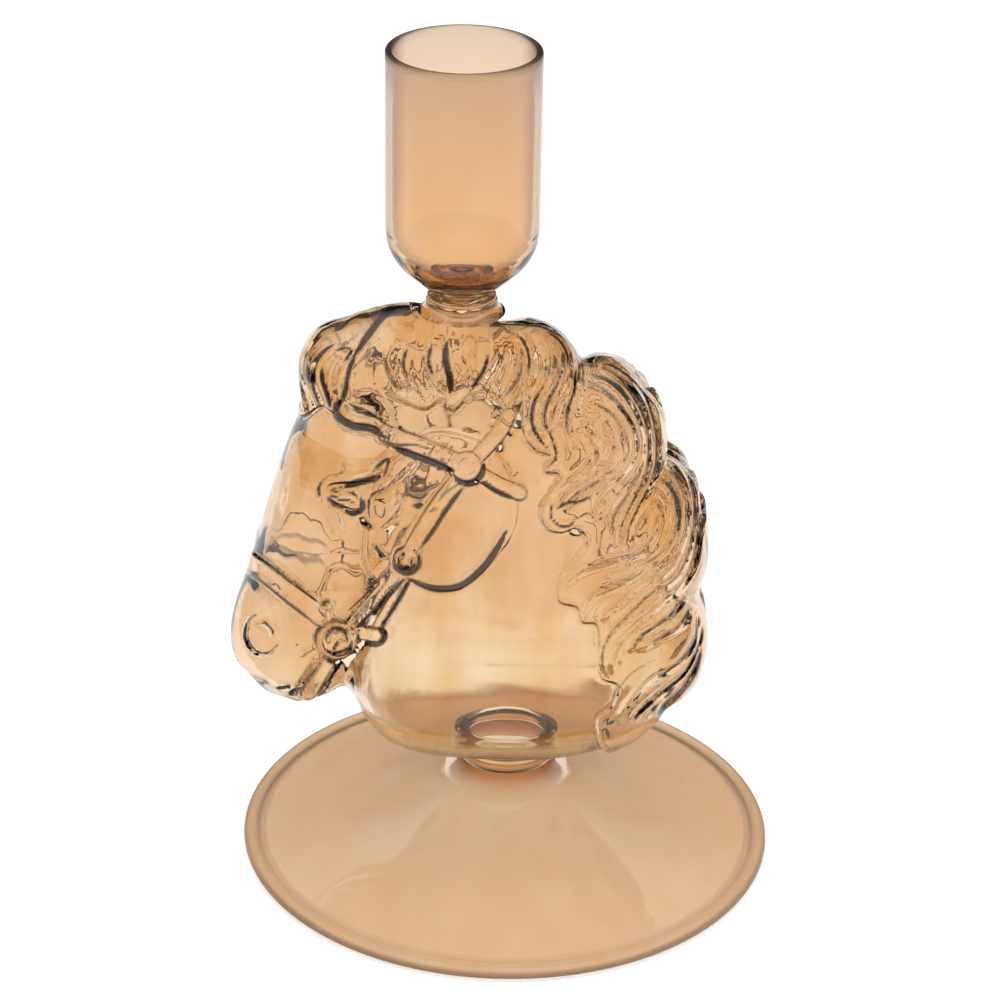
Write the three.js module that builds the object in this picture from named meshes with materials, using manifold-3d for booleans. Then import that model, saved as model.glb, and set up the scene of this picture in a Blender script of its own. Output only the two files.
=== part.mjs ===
// Taper-candle holder in amber blown glass: a flared foot, a hollow mould-blown horse bust
// and a candle cup, joined by two glass welds. Millimetres, +Z up. The pieces are drawn about
// the centre of the foot. The horse looks towards -X and its sides face -Y and +Y.
import * as THREE from 'three';
import { mergeVertices } from 'three/addons/utils/BufferGeometryUtils.js';
import Module from 'manifold-3d';

const wasm = await Module();
wasm.setup();

// ---- Driving dimensions ------------------------------------------------------------------
const GAP = 0.3; // clearance between neighbouring glass pieces
const FOOT_RADIUS = 47.5;
const FOOT_WALL = 1.7;
const RIM_HEIGHT = 2.6;
const RIM_LAND_INNER = 44.6; // flat ring that the foot stands on
const RIM_LAND_OUTER = 46.4;
const STEM_RADIUS = 9; // where the bust is welded on
const STEM_TOP = 17.4;
const BUST_BOTTOM = 19.9;
const BUST_TOP = 103;
const BUST_WALL = 1.8;
const STEM_BORE_RADIUS = 6.6;
const POLL_BORE_RADIUS = 3;
const CUP_X = -8.9; // the cup stands a little towards the nose
const CUP_RADIUS = 12.9;
const CUP_WALL = 1.3;
const CUP_BOTTOM = 106.9;
const CUP_FLOOR = 110.4;
const CUP_FLOOR_RADIUS = 4.2;
const CUP_SHOULDER = 117.5;
const CUP_TOP = 148.7;
const NECK_RADIUS = 5.65;
const STRAP_WIDTH = 3;
const STRAP_PROUD = 1.5; // half the strap section's depth; its centre line lies on the skin
const SIDES = [-1, 1]; // near side and far side of the horse

const GLASS_TINTS = {
  candle_cup: 0xdca878,
  cup_weld: 0xc08a5c,
  horse_bust: 0xe8bd90,
  foot_weld: 0xb98252,
  flared_foot: 0xe2b98d,
};

// ---- Shape helpers -----------------------------------------------------------------------
function toSolid(geometry) {
  const plain = geometry.index ? geometry.clone() : mergeVertices(geometry);
  plain.deleteAttribute('normal');
  plain.deleteAttribute('uv');
  const merged = mergeVertices(plain, 1e-4);
  const mesh = new wasm.Mesh({
    numProp: 3,
    vertProperties: new Float32Array(merged.attributes.position.array),
    triVerts: new Uint32Array(merged.index.array),
  });
  return new wasm.Manifold(mesh);
}

function toGeometry(solid) {
  const mesh = solid.getMesh();
  const geometry = new THREE.BufferGeometry();
  geometry.setAttribute('position', new THREE.BufferAttribute(mesh.vertProperties, 3));
  geometry.setIndex(new THREE.BufferAttribute(mesh.triVerts, 1));
  geometry.computeVertexNormals();
  return geometry;
}

function unite(solids) {
  return solids.reduce((whole, next) => whole.add(next));
}

// A round body from [radius, height] points, turned about the Z axis.
function turned(profile, segments) {
  const points = profile.map(([radius, height]) => new THREE.Vector2(radius, height));
  return new THREE.LatheGeometry(points, segments).rotateX(Math.PI / 2);
}

// Points of a smooth curve through [radius, height] points, for one stretch of a profile.
function smooth(stretch, divisions) {
  const points = stretch.map(([radius, height]) => new THREE.Vector2(radius, height));
  return new THREE.SplineCurve(points).getPoints(divisions).map((p) => [p.x, p.y]);
}

// An upright cylinder from one height to another.
function post(radius, low, high, x = 0) {
  const geometry = new THREE.CylinderGeometry(radius, radius, high - low, 32);
  return geometry.rotateX(Math.PI / 2).translate(x, 0, (low + high) / 2);
}

// An organic body along a spine in the XZ plane. Each ring is
// [x, z, half depth in the plane, half thickness across it].
function loft(rings, rows, sides) {
  const spine = new THREE.CatmullRomCurve3(
    rings.map(([x, z]) => new THREE.Vector3(x, 0, z)), false, 'centripetal');
  const sizes = new THREE.CatmullRomCurve3(
    rings.map(([, , depth, thick], i) => new THREE.Vector3(depth, thick, i)));
  const geometry = new THREE.CylinderGeometry(1, 1, 1, sides, rows);
  const position = geometry.attributes.position;
  const across = new THREE.Vector3(0, 1, 0);
  for (let i = 0; i < position.count; i += 1) {
    const t = THREE.MathUtils.clamp(position.getY(i) + 0.5, 0, 1);
    const centre = spine.getPoint(t);
    const size = sizes.getPoint(t);
    const inPlane = new THREE.Vector3().crossVectors(spine.getTangent(t), across);
    const point = centre
      .addScaledVector(inPlane, position.getX(i) * Math.max(size.x, 0.5))
      .addScaledVector(across, position.getZ(i) * Math.max(size.y, 0.5));
    position.setXYZ(i, point.x, point.y, point.z);
  }
  return geometry;
}

// The same body pulled in by the wall, at its ends too.
function inset(rings, wall) {
  const shrunk = rings.map(([x, z, depth, thick]) => [x, z, depth - wall, thick - wall]);
  const last = rings.length - 1;
  [[0, 1], [last, last - 1]].forEach(([end, next]) => {
    const reach = Math.hypot(rings[next][0] - rings[end][0], rings[next][1] - rings[end][1]);
    shrunk[end][0] += (rings[next][0] - rings[end][0]) * wall / reach;
    shrunk[end][1] += (rings[next][1] - rings[end][1]) * wall / reach;
  });
  return shrunk;
}

// An ellipsoid, turned in the XZ plane by an angle in degrees.
function lump([x, y, z], [radiusX, radiusY, radiusZ], angle = 0, around = 10) {
  return new THREE.SphereGeometry(1, around, around / 2)
    .scale(radiusX, radiusY, radiusZ)
    .rotateY(THREE.MathUtils.degToRad(angle))
    .translate(x, y, z);
}

// ---- The bust's body ---------------------------------------------------------------------
const NECK_RINGS = [
  [0, BUST_BOTTOM - 1.5, 13, 10],
  [-0.5, 22, 21.5, 15.5],
  [0, 28, 27, 18.5],
  [0.8, 38, 28.8, 19.3],
  [2.6, 50, 28, 18.6],
  [2, 62, 27, 16.8],
  [-0.5, 74, 26, 15],
  [-3.5, 86, 23.5, 13],
  [-6.5, 95, 17, 11],
  [-8, 101, 8.5, 7.5],
];
const HEAD_RINGS = [
  [-17, 99, 8, 6],
  [-19, 91, 16, 10.5],
  [-22.3, 79, 16, 13],
  [-26, 67, 15.7, 13.2],
  [-30.6, 56, 14.4, 11.5],
  [-35.2, 46, 12.4, 9.8],
  [-39.3, 39, 10.8, 9],
  [-40.2, 34, 8, 7.6],
  [-39.6, 30, 4.4, 4.5],
];
const CHEEK = { centre: [-9.5, 0, 70], radii: [11.5, 17.8, 13.5], angle: 0 };
const CHIN = { centre: [-34.5, 0, 32], radii: [5.5, 6, 5.2], angle: 0 };
const MANE_LUMPS = [
  { centre: [-30, 0, 93.5], radii: [8, 9.8, 8.6], angle: 15 }, // forelock over the brow
  { centre: [-19, 0, 96], radii: [9, 11.5, 7], angle: -10 },
  { centre: [1.5, 0, 94], radii: [9.5, 13.5, 8], angle: 22 }, // first fall of the mane
  { centre: [14.5, 0, 83], radii: [10, 15, 11.5], angle: 35 },
  { centre: [23.5, 0, 64.5], radii: [9.6, 15.5, 14], angle: 12 },
  { centre: [25, 0, 44], radii: [9.2, 15.5, 14], angle: 0 }, // last fall, over the chest's back
];

// The whole body pulled in by a wall: 0 gives the skin, BUST_WALL the hollow inside it.
function bustBody(wall, rows, sides) {
  const neck = toSolid(loft(inset(NECK_RINGS, wall), rows, sides));
  const head = toSolid(loft(inset(HEAD_RINGS, wall), rows, sides));
  const lumps = [CHEEK, CHIN, ...MANE_LUMPS].map(({ centre, radii, angle }) =>
    toSolid(lump(centre, radii.map((r) => r - wall), angle, sides / 2)));
  return unite([neck, head, ...lumps]);
}

// ---- Relief moulded into the bust ----------------------------------------------------------
// Finds the skin of the body at a place in side view, for one side of the horse.
function skinFinder(body) {
  const mesh = new THREE.Mesh(toGeometry(body));
  const ray = new THREE.Raycaster();
  const start = 60;
  return (x, z, side) => {
    ray.set(new THREE.Vector3(x, side * start, z), new THREE.Vector3(0, -side, 0));
    const [hit] = ray.intersectObject(mesh);
    return hit ? hit.point : new THREE.Vector3(x, 0, z);
  };
}

// A strap or lock of hair: an oval section carried along a curve.
function sweep(points, width, depth, steps) {
  const section = new THREE.Shape();
  section.absellipse(0, 0, depth / 2, width / 2, 0, 2 * Math.PI);
  const path = new THREE.CatmullRomCurve3(points);
  return new THREE.ExtrudeGeometry(section, {
    extrudePath: path, steps, curveSegments: 3, bevelEnabled: false,
  });
}

const ROSETTE = [-7.4, 81.5];
const BIT_RING = [-30, 45.2];
const STRAPS = [
  [[-20, 85.3], [-13.5, 83.2], ROSETTE], // browband
  [ROSETTE, [-4, 83.8], [-1.6, 87.1]], // crown strap
  [ROSETTE, [-13, 71.5], [-17.7, 63.2], [-22.5, 56], [-27.8, 49.2]], // cheekpiece
];
const NOSEBAND_TOP = [-45.6, 58.6];
const NOSEBAND = [BIT_RING, [-35.5, 50.2], [-41.5, 55.4], NOSEBAND_TOP];
const LOCKS = [
  [[-3, 99.5], [3, 96.5], [6, 89], [5.5, 79]],
  [[6, 99], [13, 92], [15, 82], [10, 71]],
  [[16, 92], [22, 84], [22, 73], [19.7, 64]],
  [[25, 77], [29, 68], [25, 58], [12, 52.6]],
  [[29, 60], [28, 50], [20, 45], [17.3, 40.2]],
  [[-22, 99.5], [-29, 96.5], [-32, 91.5], [-30, 86.5]],
];
const LOCK_WIDTH = 5;
const LOCK_STEPS = 6;
const STRAP_STEPS = 6;
const NOSEBAND_STEPS = 14;

function bustRelief(body) {
  const skin = skinFinder(body);
  const parts = [];
  SIDES.forEach((side) => {
    const onSkin = (route) => route.map(([x, z]) => skin(x, z, side));
    STRAPS.forEach((route) =>
      parts.push(toSolid(sweep(onSkin(route), STRAP_WIDTH, 2 * STRAP_PROUD, STRAP_STEPS))));
    LOCKS.forEach((route) =>
      parts.push(toSolid(sweep(onSkin(route), LOCK_WIDTH, 2 * STRAP_PROUD, LOCK_STEPS))));
    const rosette = skin(...ROSETTE, side);
    parts.push(toSolid(lump([rosette.x, rosette.y, rosette.z], [2.6, 2, 2.6])));
    const buckle = skin(-17.7, 63.2, side);
    parts.push(toSolid(lump([buckle.x, buckle.y, buckle.z], [2.4, 1.6, 2.4])));
    const bit = skin(...BIT_RING, side);
    const ring = new THREE.TorusGeometry(2.7, 0.9, 6, 14).rotateX(Math.PI / 2);
    parts.push(toSolid(ring.translate(bit.x, bit.y + 0.3 * side, bit.z)));
    const eye = skin(-27.6, 73.5, side);
    parts.push(toSolid(lump([eye.x, eye.y - 1.2 * side, eye.z], [4.4, 2.6, 2.4], 15)));
    const nostril = skin(-42.5, 43.8, side);
    parts.push(toSolid(lump([nostril.x, nostril.y - 0.8 * side, nostril.z], [3.2, 2.2, 3.6])));
  });
  const near = NOSEBAND.map(([x, z]) => skin(x, z, SIDES[0]));
  const bridge = new THREE.Vector3(NOSEBAND_TOP[0] + 0.4, 0, NOSEBAND_TOP[1] + 1);
  const far = near.map((p) => new THREE.Vector3(p.x, -p.y, p.z)).reverse();
  parts.push(toSolid(sweep([...near, bridge, ...far], STRAP_WIDTH, 2 * STRAP_PROUD, NOSEBAND_STEPS)));
  return unite(parts);
}

function horseBust() {
  const body = bustBody(0, 13, 24);
  const hollow = bustBody(BUST_WALL, 9, 16);
  const poll = toSolid(post(NECK_RADIUS + 1.6, 92, BUST_TOP, CUP_X));
  const reach = 100;
  const below = new THREE.BoxGeometry(reach, reach, reach).translate(0, 0, BUST_BOTTOM - reach / 2);
  const weldRoom = post(NECK_RADIUS + 1.8, BUST_TOP, CUP_BOTTOM + 10, CUP_X);
  return unite([body, poll, bustRelief(body)])
    .subtract(toSolid(below))
    .subtract(toSolid(weldRoom))
    .subtract(hollow)
    .subtract(toSolid(post(STEM_BORE_RADIUS, 10, 28)))
    .subtract(toSolid(post(POLL_BORE_RADIUS, 90, BUST_TOP + 10, CUP_X)));
}

// ---- Turned pieces -------------------------------------------------------------------------
function flaredFoot() {
  const top = smooth([
    [FOOT_RADIUS - 1.2, RIM_HEIGHT], [38, 3.2], [28, 5.4], [20, 8.3], [14, 11], [11.2, 12.3],
    [9.6, 13.7], [STEM_RADIUS, 15.3], [STEM_RADIUS, STEM_TOP],
  ], 8);
  const underside = smooth([
    [STEM_RADIUS - FOOT_WALL, STEM_TOP], [STEM_RADIUS - FOOT_WALL, 14.9], [8.3, 12.9],
    [10.3, 11.1], [13.4, 9.5], [19.4, 6.7], [27.5, 3.8], [38, 1.6], [RIM_LAND_INNER, 0.8],
  ], 8);
  const rim = [
    [RIM_LAND_INNER, 0], [RIM_LAND_OUTER, 0], [FOOT_RADIUS - 0.3, 0.45],
    [FOOT_RADIUS, RIM_HEIGHT / 2], [FOOT_RADIUS - 0.3, RIM_HEIGHT - 0.45],
  ];
  return turned([...rim, ...top, ...underside, rim[0]], 48);
}

function footWeld() {
  const low = STEM_TOP + GAP;
  const high = BUST_BOTTOM - GAP;
  const outer = STEM_RADIUS + 0.6;
  const inner = STEM_BORE_RADIUS;
  return turned([
    [inner, low], [outer - 0.6, low], [outer, (low + high) / 2], [outer - 0.6, high],
    [inner, high], [inner, low],
  ], 40);
}

function cupWeld() {
  const low = BUST_TOP + GAP;
  const high = CUP_BOTTOM - GAP;
  return turned([
    [0, low], [NECK_RADIUS + 1.1, low], [NECK_RADIUS + 1.2, low + 0.8],
    [NECK_RADIUS + 0.3, low + 1.6], [NECK_RADIUS + 0.6, low + 2.3], [NECK_RADIUS, high], [0, high],
  ], 36);
}

function candleCup() {
  const bowl = smooth([
    [NECK_RADIUS, CUP_BOTTOM + 0.5], [7.6, 109], [10.8, 112.2], [12.5, 115.2],
    [CUP_RADIUS, CUP_SHOULDER],
  ], 8);
  const inner = CUP_RADIUS - CUP_WALL;
  const bowlInside = smooth([
    [inner, CUP_SHOULDER + 0.4], [11, 115.8], [8.4, 113], [CUP_FLOOR_RADIUS, CUP_FLOOR],
  ], 6);
  const lip = CUP_WALL / 2;
  return turned([
    [0, CUP_BOTTOM], [NECK_RADIUS, CUP_BOTTOM], ...bowl,
    [CUP_RADIUS, CUP_TOP - lip], [CUP_RADIUS - 0.3 * lip, CUP_TOP - 0.3 * lip],
    [CUP_RADIUS - lip, CUP_TOP], [inner + 0.3 * lip, CUP_TOP - 0.3 * lip], [inner, CUP_TOP - lip],
    ...bowlInside, [0, CUP_FLOOR],
  ], 44);
}

// ---- Assembly ------------------------------------------------------------------------------
// The muzzle reaches past the foot, so the origin is moved to the middle of the whole object.
const holder = new THREE.Group();

function place(name, geometry, x = 0) {
  const material = new THREE.MeshStandardMaterial({
    color: GLASS_TINTS[name], roughness: 0.06, metalness: 0,
  });
  const mesh = new THREE.Mesh(geometry, material);
  mesh.name = name;
  mesh.position.x = x;
  holder.add(mesh);
}

place('flared_foot', flaredFoot());
place('foot_weld', footWeld());
place('horse_bust', toGeometry(horseBust()));
place('cup_weld', cupWeld(), CUP_X);
place('candle_cup', candleCup(), CUP_X);

const reach = new THREE.Box3().setFromObject(holder);
const middle = (reach.min.x + reach.max.x) / 2;
holder.children.forEach((piece) => {
  piece.position.x -= middle;
});

export default holder;
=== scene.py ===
"""An amber blown-glass candle holder: a horse bust on a flared foot, with a candle cup.

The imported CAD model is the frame. Shapes are worked out in millimetres about the centre of
the foot, +Z up, with the horse looking towards -X, and are moved into the frame at the end.
"""
import math

import bpy
import numpy as np
from mathutils import Matrix, Vector

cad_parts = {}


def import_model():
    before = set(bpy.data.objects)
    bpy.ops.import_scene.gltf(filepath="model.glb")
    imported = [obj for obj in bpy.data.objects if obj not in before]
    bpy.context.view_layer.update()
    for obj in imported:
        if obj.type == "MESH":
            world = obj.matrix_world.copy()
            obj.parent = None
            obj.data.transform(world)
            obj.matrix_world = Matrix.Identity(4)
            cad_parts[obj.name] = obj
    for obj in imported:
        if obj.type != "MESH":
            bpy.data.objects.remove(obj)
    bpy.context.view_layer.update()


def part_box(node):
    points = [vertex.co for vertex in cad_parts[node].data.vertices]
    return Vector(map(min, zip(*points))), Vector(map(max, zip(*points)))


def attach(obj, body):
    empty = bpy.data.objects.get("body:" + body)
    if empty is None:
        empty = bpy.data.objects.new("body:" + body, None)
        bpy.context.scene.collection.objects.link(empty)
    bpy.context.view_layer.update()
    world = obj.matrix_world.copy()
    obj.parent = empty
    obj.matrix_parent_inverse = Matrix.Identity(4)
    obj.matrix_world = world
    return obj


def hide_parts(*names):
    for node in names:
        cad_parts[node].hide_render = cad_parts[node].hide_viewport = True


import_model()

MM = 0.001
foot_low, foot_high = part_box("flared_foot")
FOOT_CENTRE = (foot_low + foot_high) / 2

# ---- The bust's body, in millimetres ----------------------------------------------------------
VOXEL = 0.5
GRID_LOW = np.array([-53.0, -24.0, 15.0])
GRID_HIGH = np.array([39.0, 24.0, 109.0])
WALL = 1.4
INNER_BLUR = 2.2  # how much softer the inside of the moulded wall is
STEM_BORE = 6.6
BORE_TOP = 30.0
WELD_ROOM = 8.5  # radius of the flat that the cup's weld stands on
BUST_BOTTOM = 19.9
BUST_TOP = 103.0
CUP_X = -8.9

# Outlines in side view, (x, z)
NECK = [
    (-14, 101.5), (-4, 100.9), (4, 98.6), (10, 94.3), (16, 90.5), (20, 87.5), (23, 80),
    (27, 70), (30, 57), (30.5, 44), (29, 34), (24, 26), (15, 21.2), (5, 19.4), (-5, 19.4),
    (-15, 20.4), (-22.5, 23.6), (-27, 30), (-28, 38), (-25, 50), (-25, 65), (-27, 80), (-24, 93),
]
HEAD = [
    (-12, 103.1), (-19, 103.8), (-27, 101.6), (-32.6, 98), (-35.4, 94), (-35.8, 89), (-35.6, 84.5),
    (-37.9, 80), (-41, 71), (-44, 60.5), (-46.3, 52.5), (-48.4, 46), (-49.2, 41),
    (-48.6, 36.5), (-46.5, 33.5), (-43.5, 30), (-40, 28.4), (-37, 27.5), (-33, 28.7),
    (-29, 32), (-27, 40), (-23, 49), (-18, 55), (-12, 57.5), (-5, 60), (0, 66), (2, 74),
    (1, 83), (-2, 93), (-6, 101),
]
# Half thickness at each height, (z, half thickness)
NECK_THICK = [(19, 18.5), (30, 19.5), (45, 19), (60, 16.5), (75, 14), (90, 12), (103, 9)]
HEAD_THICK = [
    (27, 7.5), (36, 9), (45, 9.8), (55, 11.5), (64, 14.5), (75, 15.5), (87, 13.5), (95, 11),
    (104, 8),
]
NECK_ROUND = 15.0
HEAD_ROUND = 11.0
SEAM_BLEND = 3.0
# Masses of hair, and the throat that joins the jaw to the neck: centre, radii, turn in side view
MASSES = [
    ((-26, 0, 35), (3.5, 8, 5), 0),
    ((-29.6, 0, 92.3), (6.8, 10, 7.6), 10),
    ((3, 0, 92.4), (9, 13, 7.5), -25),
    ((17.5, 0, 83), (7.2, 14, 11.5), 25),
    ((27, 0, 63.5), (6.2, 14, 13.5), 8),
    ((27.2, 0, 43), (6.8, 14.5, 12), 3),
]
MASS_BLEND = 1.5

# ---- Relief, drawn as seen from the side and from RELIEF_TILT above ---------------------------
RELIEF_TILT = math.radians(27)
RELIEF_PITCH = 0.2
RELIEF_LOW = np.array([-54.0, 2.0])
RELIEF_HIGH = np.array([40.0, 100.0])
SEAM_FADE = 5.0  # how far from the mould's seam the relief reaches its full height
POLL_FADE = 16.0  # how much further over the poll
NOSE_FADE = 6.0  # and over the nose


def spline(points, per_span=8, closed=False):
    """Samples of a smooth curve through rows of numbers."""
    p = np.asarray(points, float)
    if closed:
        p = np.vstack([p[-1:], p, p[:2]])
    else:
        p = np.vstack([2 * p[0] - p[1], p, 2 * p[-1] - p[-2]])
    t = np.linspace(0, 1, per_span, endpoint=False)[:, None]
    spans = [
        0.5 * (2 * b + (c - a) * t + (2 * a - 5 * b + 4 * c - d) * t**2
               + (3 * b - a - 3 * c + d) * t**3)
        for a, b, c, d in zip(p[:-3], p[1:-2], p[2:-1], p[3:])
    ]
    return np.vstack(spans + [p[-2:-1]])


def smooth_min(a, b, k):
    near = np.maximum(k - np.abs(a - b), 0) / k
    return np.minimum(a, b) - near * near * k / 4


def smooth_max(a, b, k):
    return -smooth_min(-a, -b, k)


def smooth_step(t):
    t = np.clip(t, 0, 1)
    return t * t * (3 - 2 * t)


def along_line(x, z, line):
    """Distance to a polyline, and how far along it the nearest point is, from 0 to 1."""
    best = np.full(x.shape, 1e9)
    share = np.zeros(x.shape)
    last = len(line) - 1
    for i, (a, b) in enumerate(zip(line[:-1], line[1:])):
        d = b - a
        t = np.clip(((x - a[0]) * d[0] + (z - a[1]) * d[1]) / max(d @ d, 1e-9), 0, 1)
        reach = np.hypot(x - a[0] - t * d[0], z - a[1] - t * d[1])
        near = reach < best
        best = np.where(near, reach, best)
        share = np.where(near, (i + t) / last, share)
    return best, share


def outline_distance(x, z, points):
    """Signed distance to a smooth closed outline, negative inside."""
    line = spline(points, closed=True)
    inside = np.zeros(x.shape, bool)
    for a, b in zip(line[:-1], line[1:]):
        if a[1] != b[1]:
            crosses = (a[1] > z) != (b[1] > z)
            inside ^= crosses & (x < a[0] + (z - a[1]) / (b[1] - a[1]) * (b[0] - a[0]))
    return np.where(inside, -1, 1) * along_line(x, z, line)[0]


def pillow(distance, thick, y, rounding, power=2.2):
    """Distance field of an outline blown up to a half thickness, with rounded edges."""
    u = np.maximum(1 + distance / rounding, 0)[:, None, :]
    v = np.abs(y)[None, :, None] / thick[:, None, :]
    q = np.maximum((u**power + v**power) ** (1 / power), 1e-3)
    slope = np.sqrt((u ** (power - 1) / rounding) ** 2
                    + (v ** (power - 1) / thick[:, None, :]) ** 2) * q ** (1 - power)
    return (q - 1) / np.maximum(slope, 0.02)


def ellipsoid(x, z, y, centre, radii, turn):
    """Distance field of an ellipsoid, turned by degrees in side view."""
    c, s = math.cos(math.radians(turn)), math.sin(math.radians(turn))
    dx, dz = x - centre[0], z - centre[2]
    px = ((c * dx + s * dz) / radii[0])[:, None, :]
    pz = ((c * dz - s * dx) / radii[2])[:, None, :]
    py = ((y - centre[1]) / radii[1])[None, :, None]
    k0 = np.sqrt(px**2 + py**2 + pz**2)
    k1 = np.sqrt((px / radii[0])**2 + (py / radii[1])**2 + (pz / radii[2])**2)
    return k0 * (k0 - 1) / np.maximum(k1, 1e-3)


def by_height(z, table):
    heights, values = np.array(table).T
    return np.interp(z, heights, values)


def grid_axes():
    counts = np.round((GRID_HIGH - GRID_LOW) / VOXEL).astype(int) + 1
    return [GRID_LOW[i] + VOXEL * np.arange(counts[i]) for i in range(3)]


def body_field():
    """Distance field of the bust without its relief, on the grid."""
    xs, ys, zs = grid_axes()
    half = ys[: len(ys) // 2 + 1]
    x, z = np.meshgrid(xs, zs, indexing="ij")
    neck = pillow(outline_distance(x, z, NECK), by_height(z, NECK_THICK), half, NECK_ROUND)
    head = pillow(outline_distance(x, z, HEAD), by_height(z, HEAD_THICK), half, HEAD_ROUND)
    field = smooth_min(neck, head, SEAM_BLEND)
    for centre, radii, turn in MASSES:
        field = smooth_min(field, ellipsoid(x, z, half, centre, radii, turn), MASS_BLEND)
    return np.concatenate([field, field[:, -2::-1, :]], axis=1).astype(np.float32)


class Relief:
    """Heights over the bust's body, in mm, on a drawing board in side view."""

    def __init__(self):
        n = np.round((RELIEF_HIGH - RELIEF_LOW) / RELIEF_PITCH).astype(int) + 1
        self.x, self.v = np.meshgrid(
            RELIEF_LOW[0] + RELIEF_PITCH * np.arange(n[0]),
            RELIEF_LOW[1] + RELIEF_PITCH * np.arange(n[1]), indexing="ij")
        self.height = np.zeros(self.x.shape)
        self.cut = np.zeros(self.x.shape)
        self.shade = np.zeros(self.x.shape)

    def window(self, line, margin):
        low = np.floor((line.min(0) - margin - RELIEF_LOW) / RELIEF_PITCH).astype(int)
        high = np.ceil((line.max(0) + margin - RELIEF_LOW) / RELIEF_PITCH).astype(int) + 1
        low = np.maximum(low, 0)
        return np.s_[low[0]:high[0], low[1]:high[1]]

    def plateau(self, points, height, edge):
        """A raised area with an edge that rises over a given width."""
        line = spline(points, closed=True)
        w = self.window(line, edge)
        inside = -outline_distance(self.x[w], self.v[w], points)
        self.height[w] += height * smooth_step(inside / edge + 0.5)

    def band(self, points, width, height, edge=0.4):
        """A strap: a flat band of even width."""
        line = spline(points)
        w = self.window(line, width)
        reach, _ = along_line(self.x[w], self.v[w], line)
        shape = height * smooth_step((width / 2 - reach) / edge + 0.5)
        self.height[w] = np.maximum(self.height[w], shape)

    def ridge(self, points, width, height):
        """A round strand that thins towards its ends, laid over what is there."""
        line = spline(points)
        w = self.window(line, width)
        reach, share = along_line(self.x[w], self.v[w], line)
        taper = np.clip(4 * share * (1 - share), 0, 1) ** 0.35
        self.height[w] += height * taper * np.sqrt(np.clip(1 - (2 * reach / width) ** 2, 0, 1))

    def groove(self, points, width, depth):
        """A V-shaped valley with round shoulders, which thins towards its ends."""
        line = spline(points)
        w = self.window(line, width)
        reach, share = along_line(self.x[w], self.v[w], line)
        taper = np.clip(5 * share * (1 - share), 0, 1) ** 0.5
        shape = depth * taper * np.clip(1 - 2 * reach / width, 0, 1) ** 1.4
        self.cut[w] = np.maximum(self.cut[w], shape)

    def disc(self, centre, radius, height, edge=0.4):
        w = self.window(np.array([centre], float), radius + edge)
        reach = np.hypot(self.x[w] - centre[0], self.v[w] - centre[1])
        shape = height * smooth_step((radius - reach) / edge + 0.5)
        self.height[w] = np.maximum(self.height[w], shape)

    def dome(self, centre, radii, turn, height):
        """A smooth bump, added to what is there; a negative height is a hollow."""
        w = self.window(np.array([centre], float), 2 * max(radii))
        c, s = math.cos(math.radians(turn)), math.sin(math.radians(turn))
        dx, dv = self.x[w] - centre[0], self.v[w] - centre[1]
        r2 = ((c * dx + s * dv) / radii[0]) ** 2 + ((c * dv - s * dx) / radii[1]) ** 2
        self.height[w] += height * np.exp(-1.5 * r2)

    def ring(self, centre, radius, width, height):
        w = self.window(np.array([centre], float), radius + width)
        reach = np.abs(np.hypot(self.x[w] - centre[0], self.v[w] - centre[1]) - radius)
        shape = height * np.sqrt(np.clip(1 - (2 * reach / width) ** 2, 0, 1))
        self.height[w] = np.maximum(self.height[w], shape)

    def paint_shade_line(self, points, width, strength=1.0):
        """A line of painted shade, where the real glass folds the light away, which thins towards its
        ends.
        """
        line = spline(points)
        w = self.window(line, width)
        reach, share = along_line(self.x[w], self.v[w], line)
        taper = np.clip(6 * share * (1 - share), 0, 1) ** 0.6
        shape = strength * smooth_step(1.5 * (1 - 1.5 * reach / np.maximum(width * taper, 1e-3)))
        self.shade[w] = np.maximum(self.shade[w], shape)

    def finish(self):
        """Works out the final heights, and shades the steep places."""
        self.final = self.height - self.cut
        across, up = np.gradient(self.final, RELIEF_PITCH)
        slope = np.hypot(across, up)
        # those that face down are shaded the most
        steep = smooth_step((slope * (0.7 + 0.3 * up / (slope + 0.01)) - 0.7) / 1.6)
        self.shade = np.maximum(self.shade, SLOPE_SHADE * steep)

    def at(self, p, values=None):
        """Heights, or other values on the board, at points in space.

        Heights fade towards the mould's seam along the middle of the bust, most of all over
        the poll and the nose, and there a little more on the far flank.
        """
        u = (p[:, 0] - RELIEF_LOW[0]) / RELIEF_PITCH
        v = p[:, 2] * math.cos(RELIEF_TILT) - np.abs(p[:, 1]) * math.sin(RELIEF_TILT)
        v = (v - RELIEF_LOW[1]) / RELIEF_PITCH
        u = np.clip(u, 0, self.x.shape[0] - 1.001)
        v = np.clip(v, 0, self.x.shape[1] - 1.001)
        i, j = u.astype(int), v.astype(int)
        u, v = u - i, v - j
        h = self.final if values is None else values
        crest = (POLL_FADE * smooth_step((p[:, 2] - 86) / 9)
                 + NOSE_FADE * smooth_step((-36 - p[:, 0]) / 8))
        reach = np.abs(p[:, 1]) + 1.5 - np.where(p[:, 1] > 0, 0.3 * crest, 0)
        seam = smooth_step(reach / (SEAM_FADE + crest)) if values is None else 1
        return seam * ((h[i, j] * (1 - u) + h[i + 1, j] * u) * (1 - v)
                       + (h[i, j + 1] * (1 - u) + h[i + 1, j + 1] * u) * v)


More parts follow.
